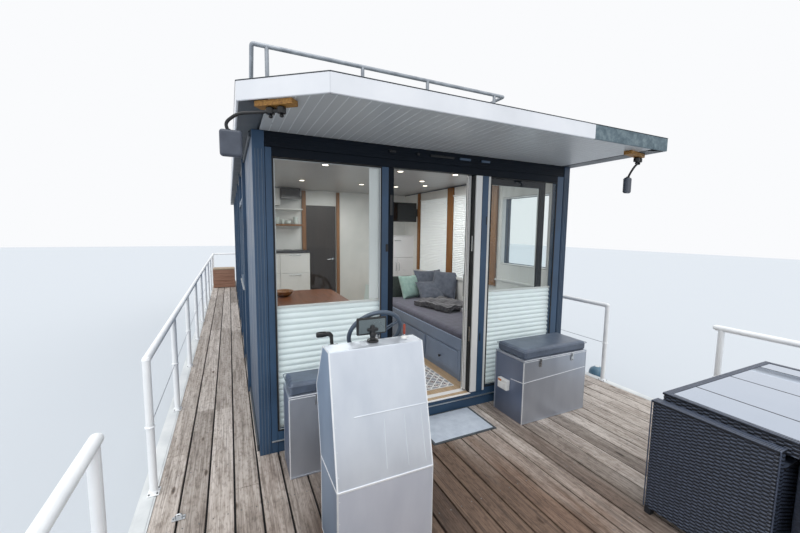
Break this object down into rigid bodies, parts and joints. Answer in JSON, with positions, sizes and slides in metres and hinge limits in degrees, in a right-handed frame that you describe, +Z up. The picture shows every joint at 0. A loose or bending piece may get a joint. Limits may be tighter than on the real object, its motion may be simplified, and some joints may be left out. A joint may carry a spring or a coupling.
{
  "type": "houseboat",
  "caption": "Flat-roofed houseboat on two pontoons: glazed cabin with sliding door, planked deck with rails, helm console, box seats, rattan dining set and outboard.",
  "frame": {"origin": "middle of the box round the whole boat, on the plane of the pontoons' bottoms", "axes": "+X to port, +Y aft (the bow points along -Y), +Z up"},
  "size_m": [4.5, 13.53, 3.4952],
  "materials": {
    "hull_paint": "satin",
    "edge_paint": "satin",
    "deck_wood": "weathered",
    "slate_paint": "satin",
    "roof_metal": "satin",
    "interior_white": "lacquered",
    "inner_door_dark": "lacquered",
    "floor_wood": "satin",
    "window_glass": "clear",
    "pleated_fabric": "matt",
    "rail_paint": "satin",
    "rail_steel": "galvanised",
    "sheet_aluminium": "brushed",
    "black_plastic": "moulded",
    "wheel_rim": "moulded",
    "cushion_vinyl": "grained",
    "dark_rattan": "woven",
    "crate_wood": "weathered",
    "furniture_grey": "painted",
    "mattress_fabric": "woven",
    "table_wood": "oiled",
    "chair_shell": "moulded",
    "fender_vinyl": "moulded",
    "cowl_paint": "gloss"
  },
  "bodies": {
    "root": {"pontoon_starboard": "hull_paint", "pontoon_port": "hull_paint", "deck_frame": "edge_paint", "deck_starboard": "deck_wood", "deck_port": "deck_wood", "deck_fore": "deck_wood", "deck_stern": "deck_wood", "front_frame": "slate_paint", "wall_starboard": "slate_paint", "wall_port": "slate_paint", "wall_stern": "slate_paint", "roof": "roof_metal", "partition": "interior_white", "tall_cabinet": "interior_white", "kitchen_counter": "interior_white", "cabin_floor": "floor_wood", "glass_front_starboard": "window_glass", "glass_front_port": "window_glass", "glass_starboard_1": "window_glass", "glass_port_1": "window_glass", "glass_port_2": "window_glass", "glass_port_3": "window_glass", "blind_starboard": "pleated_fabric", "blind_port": "pleated_fabric", "railing_starboard_fore": "rail_paint", "railing_starboard_aft": "rail_paint", "railing_port_fore": "rail_paint", "railing_port_aft": "rail_paint", "roof_rail": "rail_steel", "helm_console": "sheet_aluminium", "locker_starboard": "sheet_aluminium", "locker_port": "sheet_aluminium", "throttle": "black_plastic", "chart_display": "black_plastic", "mirror_starboard": "black_plastic", "mirror_port": "black_plastic", "dining_table": "dark_rattan", "dining_chair_starboard_aft": "dark_rattan", "dining_chair_starboard_fore": "dark_rattan", "dining_chair_port_aft": "dark_rattan", "dining_chair_port_fore": "dark_rattan", "deck_crate": "crate_wood", "daybed": "furniture_grey", "mattress": "mattress_fabric", "inner_table": "table_wood", "inner_chair": "chair_shell", "fender": "fender_vinyl", "outboard_clamp": "cowl_paint"},
    "door_leaf": {"door_leaf": "slate_paint", "door_leaf_glass": "window_glass"},
    "locker_lid_starboard": {"locker_lid_starboard": "sheet_aluminium", "cushion_starboard": "cushion_vinyl"},
    "locker_lid_port": {"locker_lid_port": "sheet_aluminium", "cushion_port": "cushion_vinyl"},
    "stern_door": {"stern_door": "slate_paint"},
    "inner_door": {"inner_door": "inner_door_dark"},
    "steering_wheel": {"steering_wheel": "wheel_rim"},
    "outboard_swivel": {"outboard_swivel": "cowl_paint"},
    "outboard_motor": {"outboard_motor": "cowl_paint"},
    "outboard_propeller": {"outboard_propeller": "sheet_aluminium"}
  },
  "joints": [
    {"name": "door_slide", "type": "slide", "parent": "root", "child": "door_leaf", "axis": [-1, 0, 0], "range_m": [0, 0.82]},
    {"name": "locker_lid_starboard_hinge", "type": "hinge", "parent": "root", "child": "locker_lid_starboard", "pos_m": [-1.013, -3.815, 1.4139], "axis": [-1, 0, 0], "range_deg": [0, 85]},
    {"name": "locker_lid_port_hinge", "type": "hinge", "parent": "root", "child": "locker_lid_port", "pos_m": [0.875, -3.815, 1.4139], "axis": [-1, 0, 0], "range_deg": [0, 85]},
    {"name": "stern_door_hinge", "type": "hinge", "parent": "root", "child": "stern_door", "pos_m": [0.352, 4.291, 1.9436], "axis": [0, 0, 1], "range_deg": [0, 100]},
    {"name": "inner_door_hinge", "type": "hinge", "parent": "root", "child": "inner_door", "pos_m": [-0.508, 0.001, 1.9436], "axis": [0, 0, 1], "range_deg": [0, 100]},
    {"name": "outboard_tilt", "type": "hinge", "parent": "root", "child": "outboard_swivel", "pos_m": [-0.0825, 6.33, 0.9136], "axis": [1, 0, 0], "range_deg": [0, 65]},
    {"name": "outboard_steer", "type": "hinge", "parent": "outboard_swivel", "child": "outboard_motor", "pos_m": [-0.0825, 6.415, 0.8686], "axis": [0, 0, 1], "range_deg": [-35, 35]},
    {"name": "propeller_spin", "type": "hinge", "parent": "outboard_motor", "child": "outboard_propeller", "pos_m": [-0.0825, 6.707, 0.1186], "axis": [0, 1, 0], "continuous": true},
    {"name": "steering_wheel_turn", "type": "hinge", "parent": "root", "child": "steering_wheel", "pos_m": [-0.97, -4.49792, 1.92999], "axis": [0, 0.8615, 0.5077], "range_deg": [-540, 540]}
  ],
  "couplings": [
    {"joint": "steering_wheel_turn", "follows": "outboard_steer", "ratio": -15.4}
  ]
}
